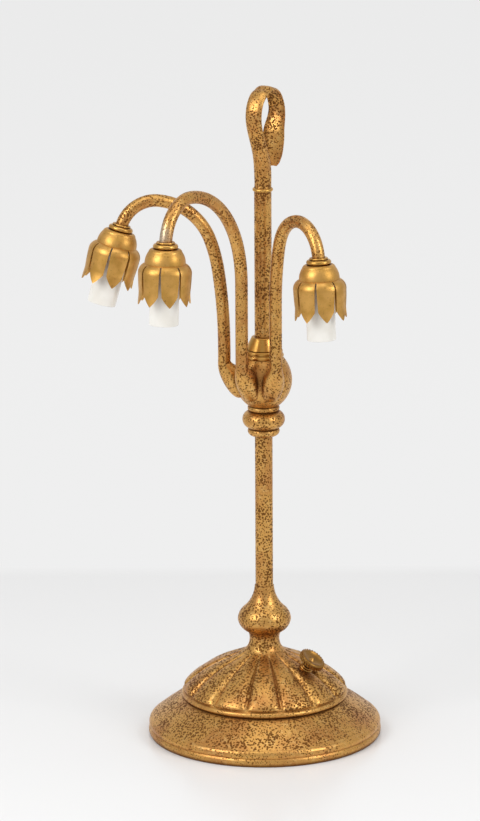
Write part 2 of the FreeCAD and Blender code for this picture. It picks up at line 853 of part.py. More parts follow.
def hub_cap():
    """Ringed cone over the hub's mouth that clamps the stem."""
    rings_top = cap_low + cap_ring_height * 2
    top = cap_low + cap_height
    step = cap_radius - cap_groove
    outer = turned(
        (0, cap_low),
        (cap_radius - 0.5, cap_low),
        ((cap_radius, cap_low + cap_ring_height * 0.45), (step, cap_low + cap_ring_height * 0.9)),
        ((step - 0.6, cap_low + cap_ring_height * 1.1), (step, cap_low + cap_ring_height * 1.3)),
        ((step + 0.1, cap_low + cap_ring_height * 1.6), (step - 1.2, rings_top)),
        (step - 1.7, rings_top + 0.2),
        (step - 1.3, rings_top + 0.7),
        (cap_top_radius + 0.5, top - 1.0),
        ((cap_top_radius + 0.2, top - 0.3), (cap_top_radius - 0.5, top)),
        (0, top),
    )
    return outer.cut(rod(stem_radius, cap_low - 1, top + 1))


def stem():
    """Centre tube from the hub's mouth up to the ring."""
    return pipe(stem_radius, stem_bore, hub_top - 5.0, stem_top)


def stem_plug():
    """Threaded bush in the hub's mouth that the stem stands in."""
    low = hub_top - 5.0
    flange = pipe(hub_mouth_radius, stem_radius, low, hub_top)
    floor = pipe(hub_mouth_radius, 3.0, low - 2.0, low)
    return flange.fuse(floor).removeSplitter()


def stem_ring():
    """Small ring where the loop screws into the stem."""
    top = stem_top + stem_ring_height
    outer = turned(
        (0, stem_top),
        (stem_ring_radius - 1.3, stem_top),
        ((stem_ring_radius, stem_top + stem_ring_height / 2), (stem_ring_radius - 1.3, top)),
        (0, top),
    )
    return outer.cut(rod(stem_bore - bore_slack, stem_top - 1, top + 1))


def loop_section(centre, outward, width, lift, dish):
    """Closed section of the loop: a round outer face, two narrow edges and an inner face that is hollow,
    or bulges where dish is negative."""
    half = Vector(width / 2, 0, 0)
    edge = outward * min(loop_edge, width / 8)
    rise = outward * lift - edge
    fall = outward * dish + edge
    outer_face, inner_face = Part.BSplineCurve(), Part.BSplineCurve()
    outer_face.interpolate(
        [
            centre - half + edge,
            centre - half * 0.7071 + edge + rise * 0.7071,
            centre + edge + rise,
            centre + half * 0.7071 + edge + rise * 0.7071,
            centre + half + edge,
        ]
    )
    inner_face.interpolate(
        [
            centre + half - edge,
            centre + half * 0.7071 - edge + fall * 0.7071,
            centre - edge + fall,
            centre - half * 0.7071 - edge + fall * 0.7071,
            centre - half - edge,
        ]
    )
    sides = [
        Part.makeLine(centre + half + edge, centre + half - edge),
        Part.makeLine(centre - half - edge, centre - half + edge),
    ]
    return Part.Wire([outer_face.toShape(), sides[0], inner_face.toShape(), sides[1]])


def loop_line():
    """The loop's middle line in the upright plane through the front."""
    low = stem_top + stem_ring_height
    rise = low + loop_height - loop_lift
    stations = [
        (0.0, low),
        (0.0, low + 13.0),
        (-loop_front * 0.2, low + 27.0),
        (-loop_front * 0.74, low + 43.0),
        (-loop_front, rise - 20.0),
        (-loop_front * 0.75, rise - 7.6),
        (-loop_front * 0.2, rise - 1.6),
        (loop_back * 0.3, rise),
        (loop_back * 0.66, rise - 4.0),
        (loop_back * 0.93, rise - 12.0),
        (loop_back, rise - 21.0),
        (loop_back * 0.84, rise - 31.0),
        (loop_back * 0.76, rise - 44.0),
        (loop_back * 0.77, low + loop_tip_height),
    ]
    line = Part.BSplineCurve()
    line.interpolate([Vector(0, back, z) for back, z in stations])
    return line


def between(pairs, share):
    """Value at a share of the way along, on straight lines between (share, value) pairs."""
    for (low, at_low), (high, at_high) in zip(pairs, pairs[1:]):
        if share <= high:
            return at_low + (at_high - at_low) * (share - low) / (high - low)
    return pairs[-1][1]


def loop():
    """Carrying loop: a round root that flattens, bows forward, curls over and hangs down as a tongue."""
    line = loop_line()
    shares = [step / 20 for step in range(19)] + [0.93, 0.955, 0.975, 0.99, 1.0]
    rings = []
    first, last = line.FirstParameter, line.LastParameter
    starts, ends = loop_flattens
    for share in shares:
        where = first + (last - first) * share
        along = line.tangent(where)[0] if share else AXIS
        outward = Vector(1, 0, 0).cross(along)
        width = between(loop_widths, share)
        flat = min(max((share - starts) / (ends - starts), 0.0), 1.0)
        lift = loop_root_radius + (loop_lift - loop_root_radius) * flat
        dish = -loop_root_radius + (loop_dish + loop_root_radius) * flat
        taper = min(width / loop_widths[1][1], 1.0) if share > ends else 1.0
        rings.append(loop_section(line.value(where), outward, width, lift * taper, dish * taper))
    body = Part.makeLoft(rings, True, False)
    low = stem_top + stem_ring_height
    spigot = rod(stem_bore - bore_slack, stem_top - stem_spigot, low)
    return body.fuse(spigot).removeSplitter()


# ---------------------------------------------------------------- tie pipe, plate and wiring


def tie_pipe():
    """Threaded pipe that pulls the base, baluster, column, knuckle and hub together."""
    return pipe(pipe_radius, pipe_bore, pipe_bottom_z, pipe_top_z)


dome_inside_top = dome_top - dome_wall * 2


def base_washer():
    """Washer under the dome's crown."""
    return pipe(washer_radius, pipe_radius + bore_slack, dome_inside_top - washer_height, dome_inside_top)


def base_nut():
    """Nut that tightens the tie pipe under the dome."""
    low = dome_inside_top - washer_height - pipe_nut_height
    return hex_nut(pipe_nut_flats, pipe_nut_height, pipe_radius, low)


def hub_nut():
    """Nut on the tie pipe in the hub."""
    return hex_nut(hub_nut_flats, hub_nut_height, pipe_radius, hub_floor_z)


cover_radius = foot_radius - cover_step_width - cover_slack
screw_circle = foot_radius - cover_step_width - ledge_width / 2


def plate_screw_places():
    """Centres of the bottom plate's screws."""
    return [
        level_point(FULL_TURN / plate_screw_count * (k + 0.5), screw_circle, 0)
        for k in range(plate_screw_count)
    ]


def bottom_plate():
    """Steel disc that closes the foot from below."""
    low = cover_recess - plate_thickness
    plate = rod(cover_radius, low, cover_recess)
    for at in plate_screw_places():
        hole = rod(plate_screw_radius + bore_slack, low - 1, cover_recess + 1)
        hole.translate(at)
        plate = plate.cut(hole)
    return plate


def felt():
    """Felt disc glued under the plate, with clear holes for the screw heads."""
    disc = rod(cover_radius, 0, cover_recess - plate_thickness)
    for at in plate_screw_places():
        hole = rod(plate_screw_head_radius + felt_hole_slack, -1, cover_recess)
        hole.translate(at)
        disc = disc.cut(hole)
    return disc


def screw_hole(at):
    """Tapped hole in the foot's ledge for one plate screw."""
    hole = rod(plate_screw_radius, cover_recess - 1, cover_recess + ledge_thickness + 1)
    hole.translate(at)
    return hole


def plate_screws():
    """The screws that hold the bottom plate, as separate solids."""
    head_top = cover_recess - plate_thickness
    screws = []
    for at in plate_screw_places():
        head = rod(plate_screw_head_radius, head_top - plate_screw_head, head_top)
        shank = rod(plate_screw_radius, head_top, head_top + plate_screw_length)
        slot = Part.makeBox(
            plate_screw_head_radius * 3,
            0.7,
            plate_screw_head * 0.5,
            Vector(-plate_screw_head_radius * 1.5, -0.35, head_top - plate_screw_head),
        )
        screw = head.fuse(shank).removeSplitter().cut(slot)
        screw.translate(at)
        screws.append(screw)
    return Part.Compound(screws)


def feed_lead():
    """Lead from the switch round into the tie pipe and up it to the splice cap."""
    tilt = math.radians(switch_tilt)
    inward = facing(switch_azimuth) * -math.sin(tilt) - AXIS * math.cos(tilt)
    start = switch_seat() + inward * (ferrule_bush_length + switch_body_depth)
    bend_start = start + inward * feed_lead_radius
    bend = Vector(bend_start.x, bend_start.y, 0).Length / (1 + math.cos(tilt))
    bend_end_z = bend_start.z + bend * math.sin(tilt)
    half = (math.pi - tilt) / 2
    middle = level_point(
        switch_azimuth, bend * (1 - math.cos(half)), bend_end_z - bend * math.sin(half)
    )
    bend_end = Vector(0, 0, bend_end_z)
    path = [
        Part.makeLine(start, bend_start),
        Part.Arc(bend_start, middle, bend_end).toShape(),
        Part.makeLine(bend_end, Vector(0, 0, splice_low)),
    ]
    return round_sweep(path, feed_lead_radius)


def splice():
    """Closed cap that joins the feed lead to the three arm leads in the hub."""
    return rod(splice_radius, splice_low, splice_low + splice_height)


# ---------------------------------------------------------------- switch


def switch_seat():
    """Point where the switch's axis leaves the dome."""
    return level_point(switch_azimuth, switch_radius, dome_height(switch_radius) + 0.2)


def on_switch(shape):
    """Moves a shape made on the Z axis, outward end up, to the switch."""
    tilt = math.radians(switch_tilt)
    outward = facing(switch_azimuth) * math.sin(tilt) + AXIS * math.cos(tilt)
    return placed(shape, switch_seat(), -outward)


def ferrule_solid():
    """Ferrule before its bores are cut."""
    ring = turned(
        (0, -ferrule_seat),
        (ferrule_radius, -ferrule_seat),
        (ferrule_radius, 0),
        ((ferrule_radius - 0.15, ferrule_height * 0.3), (ferrule_radius - 0.7, ferrule_height * 0.45)),
        (ferrule_radius - 1.2, ferrule_height * 0.55),
        ((ferrule_radius - 0.9, ferrule_height * 0.8), (ferrule_radius - 1.5, ferrule_height)),
        (0, ferrule_height),
    )
    return ring.fuse(rod(ferrule_bush_radius, -ferrule_bush_length, 0)).removeSplitter()


def ferrule():
    """Threaded bush and ringed collar that hold the switch in the dome."""
    body = ferrule_solid().cut(rod(shaft_radius + 0.05, -ferrule_bush_length - 1, ferrule_height + 1))
    return on_switch(body)


def knob_turned():
    """The knob before its teeth: a neck and a dished disc with a pointed boss."""
    low = ferrule_height + knob_gap
    disc_low = low + knob_neck_height
    top = disc_low + knob_thickness
    rim = knob_radius - knob_tooth_radius
    dish = top - knob_dish
    return turned(
        (0, low),
        (knob_neck_radius, low),
        ((knob_neck_radius - 0.7, low + knob_neck_height * 0.5), (knob_neck_radius + 0.6, disc_low)),
        (rim - 2.0, disc_low + 0.6),
        ((rim - 0.3, disc_low + knob_thickness * 0.3), (rim, disc_low + knob_thickness * 0.55)),
        ((rim - 0.5, top - 0.4), (rim - 1.6, top)),
        (rim - 2.4, top - 0.5),
        ((knob_boss_radius + 2.0, dish + knob_dish * 0.08), (knob_boss_radius, dish)),
        (
            (knob_boss_radius * 0.5, dish + knob_boss_height * 0.6),
            (knob_boss_radius * 0.15, dish + knob_boss_height),
        ),
        (0, dish + knob_boss_height),
    )


def knob_teeth():
    """Slanted beads round the knob's rim."""
    low = ferrule_height + knob_gap + knob_neck_height
    middle = low + knob_thickness * 0.52
    rim = knob_radius - knob_tooth_radius
    half = knob_thickness * 0.36
    beads = []
    for k in range(knob_tooth_count):
        bead = Part.makeCylinder(knob_tooth_radius, half * 2, Vector(rim, 0, middle - half))
        bead.rotate(Vector(rim, 0, middle), Vector(1, 0, 0), 18)
        bead.rotate(ORIGIN, AXIS, FULL_TURN / knob_tooth_count * k)
        beads.append(bead)
    return beads


def switch_knob():
    """The knob with its shaft, as turned by hand."""
    solid = knob_turned().fuse(knob_teeth()).removeSplitter()
    return on_switch(solid)


def switch_shaft():
    """Steel shaft from the knob into the switch."""
    low = ferrule_height + knob_gap
    return on_switch(rod(shaft_radius, -shaft_depth, low))


def switch_nut():
    """Nut that holds the ferrule from inside the dome."""
    low = switch_nut_rise - ferrule_bush_length
    return on_switch(hex_nut(switch_nut_flats, switch_nut_height, ferrule_bush_radius, low))


def switch_body():
    """Round switch box under the dome."""
    top = -ferrule_bush_length
    body = rod(switch_body_radius, top - switch_body_depth, top)
    return on_switch(body.cut(rod(shaft_radius + 0.05, -shaft_depth - 0.2, top + 1)))


def main():
    os.makedirs("parts", exist_ok=True)
    made = {
        "foot": foot(),
        "dome": dome(),
        "baluster": baluster(),
        "column": column(),
        "knuckle": knuckle(),
        "hub": hub(),
        "hub_cap": hub_cap(),
        "stem": stem(),
        "stem_plug": stem_plug(),
        "stem_ring": stem_ring(),
        "loop": loop(),
        "tie_pipe": tie_pipe(),
        "base_washer": base_washer(),
        "base_nut": base_nut(),
        "hub_nut": hub_nut(),
        "bottom_plate": bottom_plate(),
        "felt_pad": felt(),
        "cord_bush": cord_bush(),
        "plate_screws": plate_screws(),
        "feed_lead": feed_lead(),
        "splice_cap": splice(),
        "switch_ferrule": ferrule(),
        "switch_knob": switch_knob(),
        "switch_shaft": switch_shaft(),
        "switch_nut": switch_nut(),
        "switch_body": switch_body(),
    }
    socket_pieces = {
        "collar": collar(),
        "shade_holder": holder(),
        "nipple": nipple(),
        "lock_nut": lock_nut(),
        "socket": socket_body(),
        "screw_shell": screw_shell(),
        "contact": contact(),
    }
    for name in arms:
        made["arm_" + name] = arm(name)
        made["arm_lead_" + name] = arm_lead(name)
        _, end, way = arch_edges(name)
        for piece, shape in socket_pieces.items():
            made[piece + "_" + name] = placed(shape, end, way)
    for name, shape in made.items():
        print(name, len(shape.Solids), round(shape.Volume, 1), shape.isValid())
        shape.exportStep(os.path.join("parts", name + ".step"))


main()
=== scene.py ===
"""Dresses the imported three-light lamp: etched and satin gilt bronze, a fluted dome, white porcelain sockets
with rolled screw shells, a felted underside, and a pale table under studio lamps.

Lengths are in metres unless a name says mm. +Z is up and -Y is the lamp's front."""

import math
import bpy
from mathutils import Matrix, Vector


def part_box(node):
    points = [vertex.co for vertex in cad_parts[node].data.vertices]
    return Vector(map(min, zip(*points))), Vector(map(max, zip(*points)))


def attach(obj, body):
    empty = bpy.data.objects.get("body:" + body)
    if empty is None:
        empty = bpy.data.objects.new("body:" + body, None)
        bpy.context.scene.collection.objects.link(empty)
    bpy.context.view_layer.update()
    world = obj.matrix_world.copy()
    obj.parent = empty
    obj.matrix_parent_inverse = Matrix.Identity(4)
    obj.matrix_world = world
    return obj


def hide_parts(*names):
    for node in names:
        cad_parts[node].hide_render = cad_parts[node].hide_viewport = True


bl_info = {
    "name": "Gilt Three-Light Lamp",
    "version": (1, 0, 0),
    "blender": (4, 5, 0),
    "location": "3D View > Sidebar > Lamp",
    "description": "Dresses a packed gilt bronze lamp and sets its stage",
    "category": "Object",
}

import bmesh
import bpy
from bpy.props import FloatProperty, PointerProperty, StringProperty
from mathutils import Quaternion, Vector

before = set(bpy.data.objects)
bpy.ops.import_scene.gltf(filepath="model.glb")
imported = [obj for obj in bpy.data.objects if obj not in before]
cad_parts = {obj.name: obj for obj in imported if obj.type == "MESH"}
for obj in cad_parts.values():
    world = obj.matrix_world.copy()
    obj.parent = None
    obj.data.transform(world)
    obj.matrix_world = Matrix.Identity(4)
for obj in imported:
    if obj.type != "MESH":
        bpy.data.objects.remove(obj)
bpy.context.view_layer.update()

MM = 0.001
SIDES = ("left", "middle", "right")
ROOT = "lamp"            # the body that everything but the switch's knob rides on

TABLE_RADIUS = 4.0       # of the disc that shows the table and, past its straight edge, the backdrop
TABLE_CORNERS = 96
EDGE_BLUR = 0.02         # how softly the table's edge runs into the backdrop
BACKDROP_FAR = 3.4       # how far behind the lamp the backdrop has its upper colour
SENSOR_MM = 36.0
CLIP_END = 50.0

RIM_BAND_MM = (29.0, 36.5)   # heights between which the dome's rim is rubbed
FOOT_BAND_MM = (-1.0, 13.5)  # heights between which the foot's lower edge is rubbed
BAND_BLUR_MM = 0.6       # how softly a rubbed band starts and ends
BAND_BARENESS = 0.17     # what the rubbing takes off the specks' reach
WORN_ASIDE_MM = 7.0      # of the worn patch's middle from the arm's axis
WORN_RISE_MM = 5.0       # of the worn patch's middle above the collar


# ---------------------------------------------------------------- settings


class LampFinish(bpy.types.PropertyGroup):
    """Colours and grain sizes of the finishes."""

    gilt: StringProperty(name="Gilt", description="Colour of the clean gilding", default="#D9A75C")
    gilt_red: StringProperty(name="Red gilt", description="Where copper warms the gilding", default="#B67A45")
    gilt_pale: StringProperty(name="Pale gilt", description="Where the gilding is rubbed", default="#EBC680")
    gilt_dull: StringProperty(name="Dull gilt", description="Clouds on the smooth parts", default="#BC8F46")
    etching: StringProperty(name="Etching", description="Dark brown of the etched specks", default="#5C3212")
    worn: StringProperty(name="Worn", description="Metal shown where the gilt is gone", default="#C9BDA8")
    porcelain: StringProperty(name="Porcelain", description="Glaze of the sockets", default="#F4F1EA")
    glaze_warm: StringProperty(name="Warm glaze", description="Clouds under the glaze", default="#ECE8DF")
    felt: StringProperty(name="Felt", description="Felt under the foot", default="#2F4A35")
    felt_light: StringProperty(name="Light felt", description="Raised fibres of the felt", default="#47664E")
    speck_mm: FloatProperty(
        name="Speck spacing (mm)", description="From one etched speck to the next", default=1.75,
        min=0.5, max=8.0,
    )
    speck_reach: FloatProperty(
        name="Speck reach", description="Half width of a speck, as a share of the spacing", default=0.44,
        min=0.0, max=1.0,
    )


class LampStage(bpy.types.PropertyGroup):
    """The table, the lamps and the camera."""

    backdrop: StringProperty(name="Backdrop", description="Colour behind the lamp", default="#EBEBEB")
    backdrop_low: StringProperty(
        name="Backdrop, low", description="Colour behind the table's far edge", default="#EFEFEF"
    )
    table: StringProperty(name="Table", description="Colour of the table", default="#F2F2F2")
    table_edge: FloatProperty(
        name="Table edge", description="How far behind the lamp the table ends", unit="LENGTH", default=0.44
    )
    room_light: FloatProperty(
        name="Room light", description="Strength of the even light from all round", default=0.62, min=0.0
    )
    camera_azimuth: FloatProperty(
        name="Camera azimuth", description="Round the lamp from its front", subtype="ANGLE",
        default=math.radians(30.0),
    )
    camera_elevation: FloatProperty(
        name="Camera elevation", description="Above level", subtype="ANGLE", default=math.radians(14.8)
    )
    camera_distance: FloatProperty(
        name="Camera distance", description="From the lamp's axis", unit="LENGTH", default=3.741, min=0.5
    )
    aim_height: FloatProperty(
        name="Aim height", description="Height that the camera looks at", unit="LENGTH", default=0.2624
    )
    aim_aside: FloatProperty(
        name="Aim aside", description="How far left of the axis the camera looks", unit="LENGTH",
        default=0.0184,
    )
    camera_roll: FloatProperty(
        name="Camera roll", description="Turn of the picture", subtype="ANGLE", default=math.radians(-0.3)
    )
    lens: FloatProperty(
        name="Lens (mm)", description="Focal length on a 36 mm frame", default=210.5, min=10.0
    )


# ---------------------------------------------------------------- helpers


def linear(code):
    """Linear RGBA from an sRGB hex code."""
    parts = [int(code[i:i + 2], 16) / 255 for i in (1, 3, 5)]
    parts = [c / 12.92 if c <= 0.04045 else ((c + 0.055) / 1.055) ** 2.4 for c in parts]
    return (*parts, 1.0)


def add_node(tree, kind, links=(), **settings):
    """Adds one node. settings are its properties or input values, and links are (input, output) pairs."""
    node = tree.nodes.new(kind)
    for name, value in settings.items():
        if hasattr(node, name):
            setattr(node, name, value)
        else:
            node.inputs[name.replace("_", " ")].default_value = value
    for socket, source in links:
        tree.links.new(source, node.inputs[socket])
    return node


def new_material(name):
    """An empty node material with its output node."""
    material = bpy.data.materials.new(name)
    material.use_nodes = True
    material.node_tree.nodes.clear()
    output = material.node_tree.nodes.new("ShaderNodeOutputMaterial")
    return material, material.node_tree, output


def millimetres(tree):
    """The object's own coordinates, in millimetres."""
    place = add_node(tree, "ShaderNodeTexCoord")
    return add_node(
        tree, "ShaderNodeVectorMath", [(0, place.outputs["Object"])], operation="SCALE", Scale=1 / MM
    ).outputs[0]


def noise(tree, place, size_mm, detail=2.0, roughness=0.5, distortion=0.0):
    """Value of a noise whose features are size_mm wide."""
    return add_node(
        tree, "ShaderNodeTexNoise", [("Vector", place)], Scale=1.0 / size_mm, Detail=detail,
        Roughness=roughness, Distortion=distortion,
    ).outputs[0]


def steps(tree, value, low, high, to_low=0.0, to_high=1.0):
    """Value spread smoothly from low..high to to_low..to_high."""
    node = add_node(tree, "ShaderNodeMapRange", [(0, value)], interpolation_type="SMOOTHSTEP")
    for socket, number in zip((1, 2, 3, 4), (low, high, to_low, to_high)):
        node.inputs[socket].default_value = number
    return node.outputs[0]


def maths(tree, operation, first, second=0.0):
    """Sum, product or other operation of two values, each a socket or a number."""
    node = add_node(tree, "ShaderNodeMath", operation=operation)
    for socket, value in zip(node.inputs, (first, second)):
        if isinstance(value, (int, float)):
            socket.default_value = value
        else:
            tree.links.new(value, socket)
    return node.outputs[0]


def blend_colour(tree, share, first, second):
    """Colour between two, each a socket or a hex code."""
    node = add_node(tree, "ShaderNodeMix", data_type="RGBA")
    if isinstance(share, (int, float)):
        node.inputs[0].default_value = share
    else:
        tree.links.new(share, node.inputs[0])
    for socket, colour in ((node.inputs[6], first), (node.inputs[7], second)):
        if isinstance(colour, str):
            socket.default_value = linear(colour)
        else:
            tree.links.new(colour, socket)
    return node.outputs[2]


def dress(names, material):
    """Gives CAD nodes one material, through their objects' slots."""
    for name in names:
        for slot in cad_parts[name].material_slots:
            slot.link = "OBJECT"
            slot.material = material


def of_each_arm(*pieces):
    """The three arms' names of some pieces."""
    return [f"{piece}_{side}" for side in SIDES for piece in pieces]


# ---------------------------------------------------------------- finishes


def band(tree, place, low, high):
    """1 between two heights in millimetres and 0 past them."""
    height = add_node(tree, "ShaderNodeSeparateXYZ", [(0, place)]).outputs["Z"]
    rising = steps(tree, height, low - BAND_BLUR_MM, low + BAND_BLUR_MM)
    falling = steps(tree, height, high - BAND_BLUR_MM, high + BAND_BLUR_MM, 1.0, 0.0)
    return maths(tree, "MULTIPLY", rising, falling)


def specks(tree, place, reach):
    """1 on the etched specks and 0 between them: round dots that crowd and thin out over some centimetres."""
    finish = bpy.context.scene.lamp_finish
    crowd = noise(tree, place, 15.0, detail=2.0)
    wobble = add_node(
        tree, "ShaderNodeTexNoise", [("Vector", place)], Scale=1.0 / (0.6 * finish.speck_mm), Detail=1.0
    )
    shift = add_node(
        tree, "ShaderNodeVectorMath", [(0, wobble.outputs["Color"])], operation="SCALE",
        Scale=0.55 * finish.speck_mm,
    )
    uneven = add_node(
        tree, "ShaderNodeVectorMath", [(0, place), (1, shift.outputs[0])], operation="ADD"
    )
    cell = add_node(
        tree, "ShaderNodeTexVoronoi", [("Vector", uneven.outputs[0])], feature="F1",
        Scale=1.0 / finish.speck_mm, Randomness=1.0,
    )
    bar = maths(tree, "ADD", steps(tree, crowd, 0.32, 0.66, -0.13, 0.1), reach)
    inside = maths(tree, "SUBTRACT", bar, cell.outputs["Distance"])
    return steps(tree, inside, -0.05, 0.07)


def etched_gilt(name, reach_change=0.0, bare_bands=(), worn_at=None):
    """Cast or drawn bronze, gilt and acid etched: warm satin metal whose etched specks hold brown lacquer, so
    it glints between them and looks brown where they crowd. bare_bands are heights in millimetres, from and
    to, that handling has rubbed clean. worn_at is the middle of a patch whose gilt is gone."""
    finish = bpy.context.scene.lamp_finish
    material, tree, output = new_material(name)
    place = millimetres(tree)
    reach = finish.speck_reach + reach_change
    for low, high in bare_bands:
        bareness = maths(tree, "MULTIPLY", band(tree, place, low, high), BAND_BARENESS)
        reach = maths(tree, "SUBTRACT", reach, bareness)
    etched = specks(tree, place, reach)

    # the gilding is redder and paler in patches
    patch = noise(tree, place, 24.0, detail=3.0)
    fleck = noise(tree, place, 4.0, detail=3.0)
    gold = blend_colour(tree, steps(tree, patch, 0.42, 0.68, 0.0, 0.65), finish.gilt, finish.gilt_red)
    gold = blend_colour(tree, steps(tree, fleck, 0.5, 0.78, 0.0, 0.55), gold, finish.gilt_pale)
    mottle = noise(tree, place, 0.9, detail=3.0)
    gold = blend_colour(tree, steps(tree, mottle, 0.45, 0.7, 0.0, 0.75), gold, finish.gilt_red)

    # painted shade: the hollows darkened to brown by how closed in each point is (ambient occlusion)
    hollow = add_node(tree, "ShaderNodeAmbientOcclusion", samples=8, Distance=7.0 * MM).outputs["AO"]
    painted_shade_and_stains = steps(tree, hollow, 0.3, 0.95, 0.8, 0.0)
    # dark joins the real etched specks with the painted shade in the hollows
    dark = maths(tree, "MAXIMUM", maths(tree, "MULTIPLY", etched, 0.82), painted_shade_and_stains)
    if worn_at is not None:
        # there the gilt is rubbed through to a paler metal, with a ragged edge
        far = add_node(tree, "ShaderNodeVectorMath", [(0, place)], operation="DISTANCE")
        far.inputs[1].default_value = worn_at
        ragged = maths(tree, "ADD", far.outputs["Value"], maths(tree, "MULTIPLY", fleck, 9.0))
        rubbed = steps(tree, ragged, 10.0, 19.0, 0.75, 0.0)
        gold = blend_colour(tree, rubbed, gold, finish.worn)
        dark = maths(tree, "MULTIPLY", dark, steps(tree, rubbed, 0.0, 0.75, 1.0, 0.45))
    colour = blend_colour(tree, dark, gold, finish.etching)

    # the specks are pits in a faintly grained skin
    grain = noise(tree, place, 0.6, detail=2.0)
    relief = maths(tree, "SUBTRACT", maths(tree, "MULTIPLY", grain, 0.3), etched)
    bump = add_node(tree, "ShaderNodeBump", [("Height", relief)], Strength=0.4, Distance=0.12 * MM)
    shader = add_node(
        tree, "ShaderNodeBsdfPrincipled",
        [
            ("Base Color", colour),
            ("Roughness", steps(tree, dark, 0.0, 0.82, 0.36, 0.6)),
            ("Normal", bump.outputs[0]),
        ],
        Metallic=1.0,
    )
    tree.links.new(shader.outputs[0], output.inputs["Surface"])
    return material


def satin_gilt(name, roughness, tarnish=0.0):
    """Spun or pressed brass, gilt and lightly brushed: clean warm metal with cloudy handling marks, and brown
    stains where fingers and lacquer leave them. tarnish is how much brown lies over all of it."""
    finish = bpy.context.scene.lamp_finish
    material, tree, output = new_material(name)
    place = millimetres(tree)
    cloud = noise(tree, place, 9.0, detail=4.0)
    spot = noise(tree, place, 1.6, detail=3.0)
    gold = blend_colour(tree, steps(tree, cloud, 0.3, 0.7, 0.0, 0.9), finish.gilt, finish.gilt_dull)
    # painted shade: the hollows darkened to brown by ambient occlusion, joined with real brown stain spots
    # and the tarnish
    hollow = add_node(tree, "ShaderNodeAmbientOcclusion", samples=8, Distance=5.0 * MM).outputs["AO"]
    painted_shade_and_stains = maths(
        tree, "MAXIMUM", steps(tree, hollow, 0.25, 0.9, 0.8, 0.0), steps(tree, spot, 0.6, 0.72, 0.0, 0.4)
    )
    painted_shade_and_stains = maths(tree, "MAXIMUM", painted_shade_and_stains, tarnish)
    colour = blend_colour(tree, painted_shade_and_stains, gold, finish.etching)
    bump = add_node(tree, "ShaderNodeBump", [("Height", cloud)], Strength=0.25, Distance=0.4 * MM)
    shader = add_node(
        tree, "ShaderNodeBsdfPrincipled",
        [
            ("Base Color", colour),
            ("Roughness", steps(tree, cloud, 0.3, 0.7, roughness - 0.04, roughness + 0.08)),
            ("Normal", bump.outputs[0]),
        ],
        Metallic=1.0,
    )
    tree.links.new(shader.outputs[0], output.inputs["Surface"])
    return material


def plain_metal(name, colour, stained, roughness):
    """Drawn, turned or plated metal left as it was machined: bright, with faint darker stains."""
    material, tree, output = new_material(name)
    place = millimetres(tree)
    stain = noise(tree, place, 4.0, detail=4.0)
    shade = blend_colour(tree, steps(tree, stain, 0.4, 0.7, 0.0, 0.6), colour, stained)
    bump = add_node(tree, "ShaderNodeBump", [("Height", stain)], Strength=0.1, Distance=0.1 * MM)
    shader = add_node(
        tree, "ShaderNodeBsdfPrincipled",
        [
            ("Base Color", shade),
            ("Roughness", steps(tree, stain, 0.3, 0.7, roughness - 0.05, roughness + 0.1)),
            ("Normal", bump.outputs[0]),
        ],
        Metallic=1.0,
    )
    tree.links.new(shader.outputs[0], output.inputs["Surface"])
    return material


def glazed_porcelain():
    """White porcelain dipped in clear glaze: bright, glossy, with a faint warm cloud under the glaze."""
    finish = bpy.context.scene.lamp_finish
    material, tree, output = new_material("glazed porcelain")
    place = millimetres(tree)
    cloud = noise(tree, place, 12.0, detail=2.0)
    colour = blend_colour(tree, steps(tree, cloud, 0.3, 0.7), finish.porcelain, finish.glaze_warm)
    bump = add_node(tree, "ShaderNodeBump", [("Height", cloud)], Strength=0.05, Distance=0.4 * MM)
    shader = add_node(
        tree, "ShaderNodeBsdfPrincipled", [("Base Color", colour), ("Normal", bump.outputs[0])],
        Roughness=0.16, IOR=1.5,
    )
    tree.links.new(shader.outputs[0], output.inputs["Surface"])
    return material


def pressed_felt():
    """Pressed wool felt: matt, with short fibres lying every way."""
    finish = bpy.context.scene.lamp_finish
    material, tree, output = new_material("pressed wool felt")
    place = millimetres(tree)
    fibre = noise(tree, place, 0.6, detail=5.0, roughness=0.7, distortion=1.5)
    colour = blend_colour(tree, steps(tree, fibre, 0.3, 0.7), finish.felt, finish.felt_light)
    bump = add_node(tree, "ShaderNodeBump", [("Height", fibre)], Strength=0.8, Distance=0.3 * MM)
    shader = add_node(
        tree, "ShaderNodeBsdfPrincipled", [("Base Color", colour), ("Normal", bump.outputs[0])],
        Roughness=0.95, Sheen_Weight=0.3,
    )
    tree.links.new(shader.outputs[0], output.inputs["Surface"])
    return material


def moulded(name, colour, marbled, roughness):
    """Moulded resin or rubber: an even dull sheen on a slightly uneven, marbled skin."""
    material, tree, output = new_material(name)
    place = millimetres(tree)
    cloud = noise(tree, place, 3.0, detail=3.0)
    shade = blend_colour(tree, steps(tree, cloud, 0.4, 0.7), colour, marbled)
    bump = add_node(tree, "ShaderNodeBump", [("Height", cloud)], Strength=0.2, Distance=0.1 * MM)
    shader = add_node(
        tree, "ShaderNodeBsdfPrincipled", [("Base Color", shade), ("Normal", bump.outputs[0])],
        Roughness=roughness,
    )
    tree.links.new(shader.outputs[0], output.inputs["Surface"])
    return material


# ---------------------------------------------------------------- fluted dome


LOBES = 14
LOBE_PHASE = 3.1        # degrees from the front to the first lobe's middle
LOBE_STEPS = 24         # faces across one lobe
